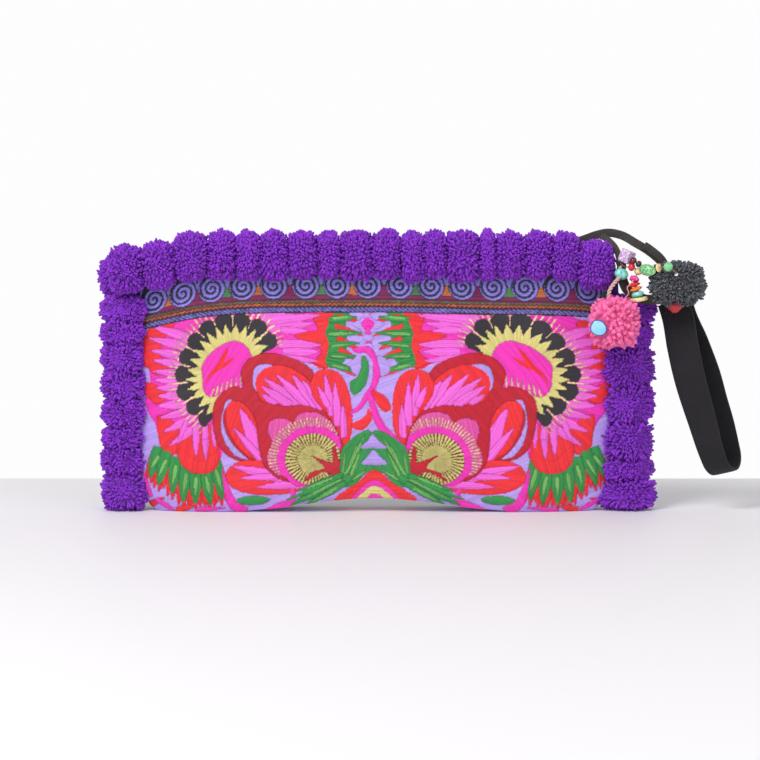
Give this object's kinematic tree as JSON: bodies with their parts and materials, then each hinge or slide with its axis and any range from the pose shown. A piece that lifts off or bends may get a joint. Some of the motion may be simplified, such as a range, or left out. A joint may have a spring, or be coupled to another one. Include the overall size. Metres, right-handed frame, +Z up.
{
  "type": "wristlet",
  "caption": "Embroidered cloth zip pouch that stands on its base, with yarn pompoms round three edges, bead charms and a cloth wrist loop.",
  "frame": {"origin": "bottom centre of the whole wristlet's box, on the surface it stands on", "axes": "+Z up, front faces -Y, +X to the right of the front, towards the wrist strap"},
  "size_m": [0.4114, 0.0662, 0.1793],
  "materials": {
    "embroidered_cloth": "satin stitch on lilac cloth",
    "plain_cloth": "plain woven black cotton",
    "zip_tape": "woven tape",
    "zip_teeth": "moulded",
    "zip_metal": "satin",
    "trim_tape": "woven tape",
    "purple_yarn": "acrylic yarn",
    "pink_yarn": "acrylic yarn",
    "charcoal_yarn": "acrylic yarn",
    "suede": "napped",
    "strap_cloth": "woven cotton",
    "thread": "waxed thread",
    "red_cloth": "plain woven",
    "cube_glass": "frosted with glitter",
    "green_bead": "polished",
    "jade_bead": "polished",
    "cream_bead": "polished",
    "magenta_bead": "polished",
    "red_bead": "polished",
    "orange_bead": "polished",
    "turquoise_bead": "polished",
    "sky_blue_bead": "polished"
  },
  "bodies": {
    "root": {"front_panel": "embroidered_cloth", "back_panel": "plain_cloth", "trim_tape": "trim_tape", "zip_tape_front": "zip_tape", "zip_tape_back": "zip_tape", "zip_teeth": "zip_teeth", "zip_slider": "zip_metal", "wrist_strap": "strap_cloth", "thong": "suede", "bead_thread_across": "thread", "bead_thread_down": "thread", "pompom_cord": "thread", "glass_cube": "cube_glass", "leaf_bead": "green_bead", "jade_bead": "jade_bead", "cream_bead": "cream_bead", "magenta_bead": "magenta_bead", "red_disc_bead": "red_bead", "orange_disc_bead": "orange_bead", "teal_bead": "turquoise_bead", "shell_disc": "cream_bead", "turquoise_bead": "turquoise_bead", "sky_blue_bead": "sky_blue_bead", "cloth_tip": "red_cloth", "pink_pompom": "pink_yarn", "charcoal_pompom": "charcoal_yarn", "pompom_corner": "purple_yarn", "pompom_top_01": "purple_yarn", "pompom_top_02": "purple_yarn", "pompom_top_03": "purple_yarn", "pompom_top_04": "purple_yarn", "pompom_top_05": "purple_yarn", "pompom_top_06": "purple_yarn", "pompom_top_07": "purple_yarn", "pompom_top_08": "purple_yarn", "pompom_top_09": "purple_yarn", "pompom_top_10": "purple_yarn", "pompom_top_11": "purple_yarn", "pompom_top_12": "purple_yarn", "pompom_top_13": "purple_yarn", "pompom_top_14": "purple_yarn", "pompom_top_15": "purple_yarn", "pompom_top_16": "purple_yarn", "pompom_top_17": "purple_yarn", "pompom_top_18": "purple_yarn", "pompom_left_01": "purple_yarn", "pompom_left_02": "purple_yarn", "pompom_left_03": "purple_yarn", "pompom_left_04": "purple_yarn", "pompom_left_05": "purple_yarn", "pompom_left_06": "purple_yarn", "pompom_left_07": "purple_yarn", "pompom_left_08": "purple_yarn", "pompom_right_01": "purple_yarn", "pompom_right_02": "purple_yarn", "pompom_right_03": "purple_yarn", "pompom_right_04": "purple_yarn", "pompom_right_05": "purple_yarn", "pompom_right_06": "purple_yarn", "pompom_right_07": "purple_yarn"}
  },
  "joints": []
}
